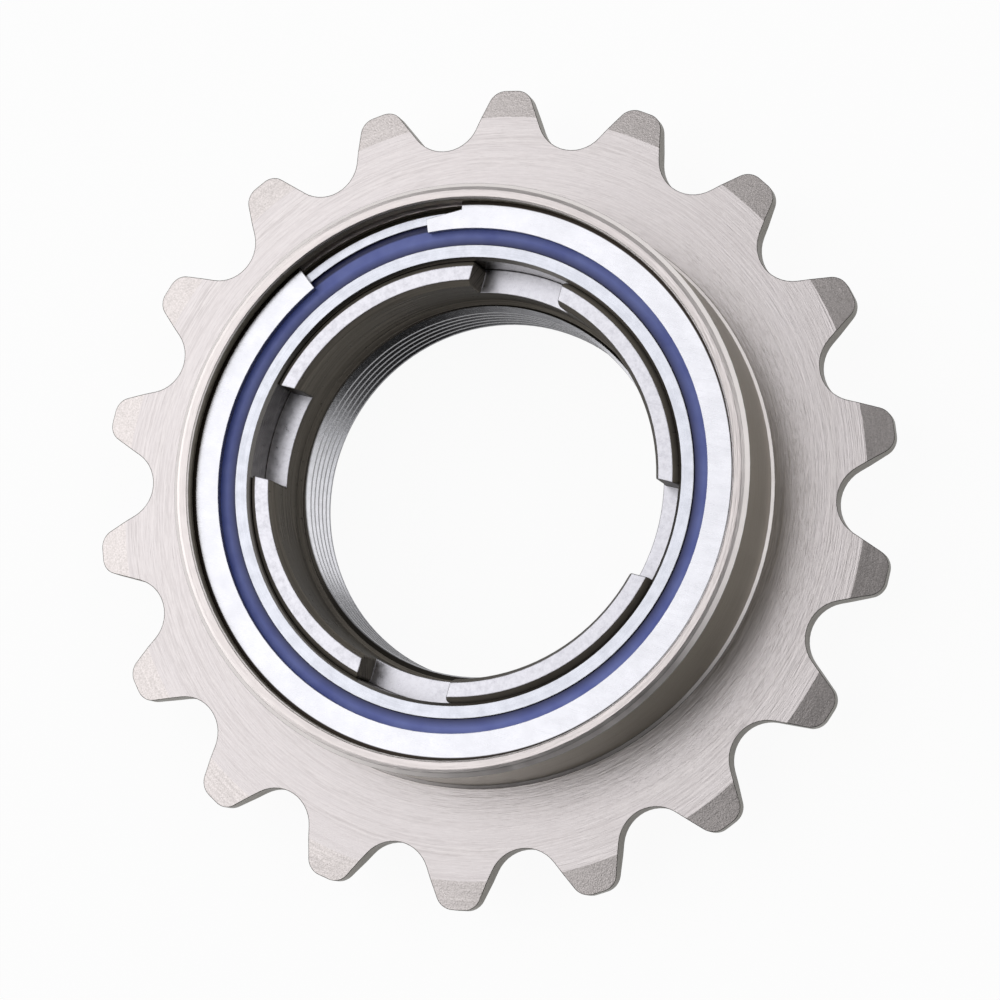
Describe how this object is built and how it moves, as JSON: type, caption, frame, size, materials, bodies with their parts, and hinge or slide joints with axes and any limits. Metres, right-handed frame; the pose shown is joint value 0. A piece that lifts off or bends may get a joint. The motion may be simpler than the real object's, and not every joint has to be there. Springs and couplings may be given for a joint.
{
  "type": "single speed freewheel",
  "caption": "Threaded single speed freewheel: toothed shell on a sealed ball bearing round a notched inner body, with sprung pawls.",
  "frame": {"origin": "on the freewheel's axis, in the plane of the inner body's back face", "axes": "+Z along the axis towards the outboard face with the snap ring; +X and +Y through tool notches"},
  "size_m": [0.0758, 0.0754, 0.0166],
  "materials": {
    "sprocket_steel": "turned face, satin nickel plate",
    "core_steel": "turned bore, bead blasted rim",
    "bearing_steel": "ground",
    "ball_steel": "polished",
    "blue_seal": "moulded satin",
    "cage_nylon": "moulded",
    "spring_steel": "ground, satin",
    "black_rubber": "moulded",
    "pawl_steel": "hardened, ground",
    "leaf_steel": "blue-grey spring temper"
  },
  "bodies": {
    "core": {"inner_body": "core_steel", "bearing_inner_race": "bearing_steel", "pawl_spring_1": "leaf_steel", "pawl_spring_2": "leaf_steel", "pawl_spring_3": "leaf_steel"},
    "shell": {"sprocket_shell": "sprocket_steel", "bearing_outer_race": "bearing_steel", "front_bearing_seal": "blue_seal", "back_bearing_seal": "blue_seal", "snap_ring": "spring_steel", "back_dust_seal": "black_rubber"},
    "cage": {"ball_cage": "cage_nylon", "ball_01": "ball_steel", "ball_02": "ball_steel", "ball_03": "ball_steel", "ball_04": "ball_steel", "ball_05": "ball_steel", "ball_06": "ball_steel", "ball_07": "ball_steel", "ball_08": "ball_steel", "ball_09": "ball_steel", "ball_10": "ball_steel", "ball_11": "ball_steel", "ball_12": "ball_steel", "ball_13": "ball_steel", "ball_14": "ball_steel", "ball_15": "ball_steel", "ball_16": "ball_steel", "ball_17": "ball_steel", "ball_18": "ball_steel", "ball_19": "ball_steel", "ball_20": "ball_steel", "ball_21": "ball_steel", "ball_22": "ball_steel", "ball_23": "ball_steel", "ball_24": "ball_steel"},
    "pawl_1": {"pawl_1": "pawl_steel"},
    "pawl_2": {"pawl_2": "pawl_steel"},
    "pawl_3": {"pawl_3": "pawl_steel"}
  },
  "joints": [
    {"name": "shell_spin", "type": "hinge", "parent": "core", "child": "shell", "pos_m": [0, 0, 0.01165], "axis": [0, 0, 1], "continuous": true},
    {"name": "cage_spin", "type": "hinge", "parent": "core", "child": "cage", "pos_m": [0, 0, 0.01165], "axis": [0, 0, 1], "continuous": true},
    {"name": "pawl_1_swing", "type": "hinge", "parent": "core", "child": "pawl_1", "pos_m": [0.02, 0, 0.0056], "axis": [0, 0, -1], "range_deg": [0, 10], "stiffness_Nm_per_rad": 0.002, "springref_deg": 20.05, "deforming": ["pawl_spring_1"]},
    {"name": "pawl_2_swing", "type": "hinge", "parent": "core", "child": "pawl_2", "pos_m": [-0.01, 0.01732, 0.0056], "axis": [0, 0, -1], "range_deg": [0, 10], "stiffness_Nm_per_rad": 0.002, "springref_deg": 20.05, "deforming": ["pawl_spring_2"]},
    {"name": "pawl_3_swing", "type": "hinge", "parent": "core", "child": "pawl_3", "pos_m": [-0.01, -0.01732, 0.0056], "axis": [0, 0, -1], "range_deg": [0, 10], "stiffness_Nm_per_rad": 0.002, "springref_deg": 20.05, "deforming": ["pawl_spring_3"]}
  ],
  "couplings": [
    {"joint": "cage_spin", "follows": "shell_spin", "ratio": 0.53528}
  ]
}
